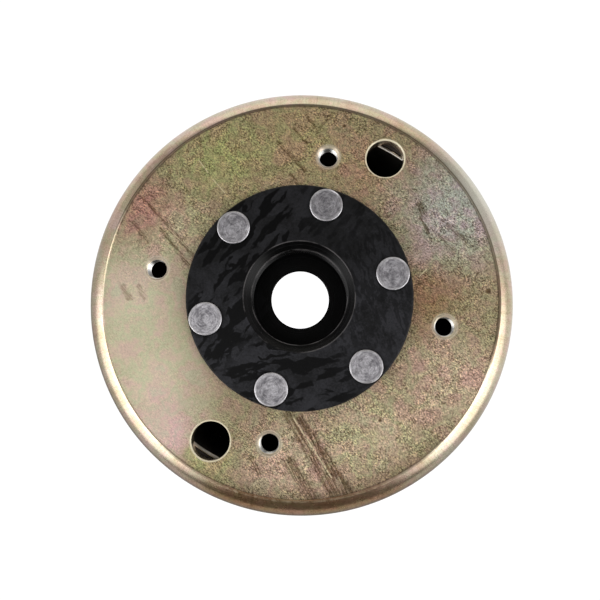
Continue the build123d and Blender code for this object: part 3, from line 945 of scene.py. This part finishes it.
floor_white = glow("floor_white", 0.12, FLOOR_SEEN)
nodes, links = floor_white.node_tree.nodes, floor_white.node_tree.links
where = nodes.new("ShaderNodeVectorMath")
where.operation = "DOT_PRODUCT"
where.inputs[1].default_value = FAR_SIDE
floor_place = nodes.new("ShaderNodeTexCoord").outputs["Object"]
links.new(floor_place, where.inputs[0])
fall = nodes.new("ShaderNodeMapRange")
for n, value in enumerate((NEAR, FAR, FLOOR_DARK, FLOOR_BRIGHT)):
    fall.inputs[n + 1].default_value = value
links.new(where.outputs["Value"], fall.inputs["Value"])
far_off = nodes.new("ShaderNodeVectorMath")
far_off.operation = "LENGTH"
links.new(floor_place, far_off.inputs[0])
beyond = nodes.new("ShaderNodeMapRange")
for n, value in enumerate((BEYOND_START, BEYOND_END, 0.0, BEYOND_GLOW)):
    beyond.inputs[n + 1].default_value = value
links.new(far_off.outputs["Value"], beyond.inputs["Value"])
brighter = nodes.new("ShaderNodeMath")
brighter.operation = "MAXIMUM"
links.new(fall.outputs[0], brighter.inputs[0])
links.new(beyond.outputs[0], brighter.inputs[1])
level = nodes.new("ShaderNodeMapRange")
level.inputs["To Max"].default_value = FLOOR_SEEN
links.new(brighter.outputs[0], level.inputs["To Min"])
links.new(nodes.new("ShaderNodeLightPath").outputs["Is Camera Ray"], level.inputs["Value"])
links.new(level.outputs[0], nodes["Principled BSDF"].inputs["Emission Strength"])
flat_disc("floor", FLOOR_RADIUS, -0.02, 256, floor_white)
# Painted shade: a dark disc under the cup, seen through its holes in place of the shade inside
flat_disc("painted_shade_under_cup", CUP_RADIUS - 1.5, -0.01, 128, glow("painted_shade_dark", 0.03, 0.0))
flat_disc("bore_light", GLOW_RADIUS, 0.0, 96, glow("bore_white", 0.8, 1.05))
shade_outside = GLOW_RADIUS + SHADE_WALL
shade_outline = [(GLOW_RADIUS, 0), (shade_outside, 0), (shade_outside, SHADE_TOP), (GLOW_RADIUS, SHADE_TOP)]
shade = lathe("bore_shade", shade_outline, 96)
shade.data.materials.append(glow("shade_dark", 0.01, 0.0))

# World: white to the camera, and to the object a dim room with two pairs of soft lights in front,
# one low light behind and weaker fill at the sides
LIGHTS = [  # azimuth, elevation, half width in degrees, softness in degrees, colour
    (201, 54, 12, 14, (1.9, 1.9, 1.9)),
    (337, 54, 12, 14, (1.9, 1.9, 1.9)),
    (202, 30, 20, 15, (1.65, 1.65, 1.65)),
    (337, 29, 20, 15, (1.65, 1.65, 1.65)),
    (90, 6, 28, 14, (1.1, 1.06, 0.98)),
    (5, 10, 34, 25, (0.5, 0.5, 0.5)),
    (175, 10, 34, 25, (0.5, 0.5, 0.5)),
]
AMBIENT = (0.08, 0.078, 0.075)
world = bpy.data.worlds.new("studio")
scene.world = world
world.use_nodes = True
tree = world.node_tree
tree.nodes.clear()


def wire(socket, value):
    if isinstance(value, bpy.types.NodeSocket):
        tree.links.new(value, socket)
    else:
        socket.default_value = value


direction = tree.nodes.new("ShaderNodeTexCoord").outputs["Generated"]
total = (*AMBIENT, 1)
for azimuth, elevation, half, soft, tone in LIGHTS:
    px, py = polar(cos(radians(elevation)), azimuth)
    dot = tree.nodes.new("ShaderNodeVectorMath")
    dot.operation = "DOT_PRODUCT"
    wire(dot.inputs[0], direction)
    wire(dot.inputs[1], (px, py, sin(radians(elevation))))
    angle = tree.nodes.new("ShaderNodeMath")
    angle.operation = "ARCCOSINE"
    wire(angle.inputs[0], dot.outputs["Value"])
    step = tree.nodes.new("ShaderNodeMapRange")
    step.interpolation_type = "SMOOTHSTEP"
    for socket, value in zip(step.inputs, (angle.outputs[0], radians(half), radians(half + soft), 1.0, 0.0)):
        wire(socket, value)
    add = tree.nodes.new("ShaderNodeMix")
    add.data_type, add.blend_type = "RGBA", "ADD"
    wire(add.inputs[0], step.outputs[0])
    wire(add.inputs[6], total)
    wire(add.inputs[7], (*tone, 1))
    total = add.outputs[2]
light_path = tree.nodes.new("ShaderNodeLightPath")
seen = tree.nodes.new("ShaderNodeMix")
seen.data_type = "RGBA"
wire(seen.inputs[0], light_path.outputs["Is Camera Ray"])
wire(seen.inputs[6], total)
wire(seen.inputs[7], (BACKDROP, BACKDROP, BACKDROP, 1))
background = tree.nodes.new("ShaderNodeBackground")
wire(background.inputs["Color"], seen.outputs[2])
world_out = tree.nodes.new("ShaderNodeOutputWorld")
tree.links.new(background.outputs[0], world_out.inputs["Surface"])

# ---------------------------------------------------------------- camera
# Its place and what it looks at, in millimetres, and its focal length
CAMERA_AT = Vector((5.52, -18.75, 216.9)) * MM
AIM = Vector((0.18, -0.75, 38.0)) * MM
FOCAL = 39.69
camera_data = bpy.data.cameras.new("camera")
camera_data.lens = FOCAL
camera_data.sensor_width = 36.0
camera_data.clip_start = 0.01
camera = bpy.data.objects.new("camera", camera_data)
scene.collection.objects.link(camera)
back = (CAMERA_AT - AIM).normalized()
right = Vector((0, 1, 0)).cross(back).normalized()
turned = Matrix((right, back.cross(right), back)).transposed().to_4x4()
camera.matrix_world = Matrix.Translation(CAMERA_AT) @ turned
scene.camera = camera
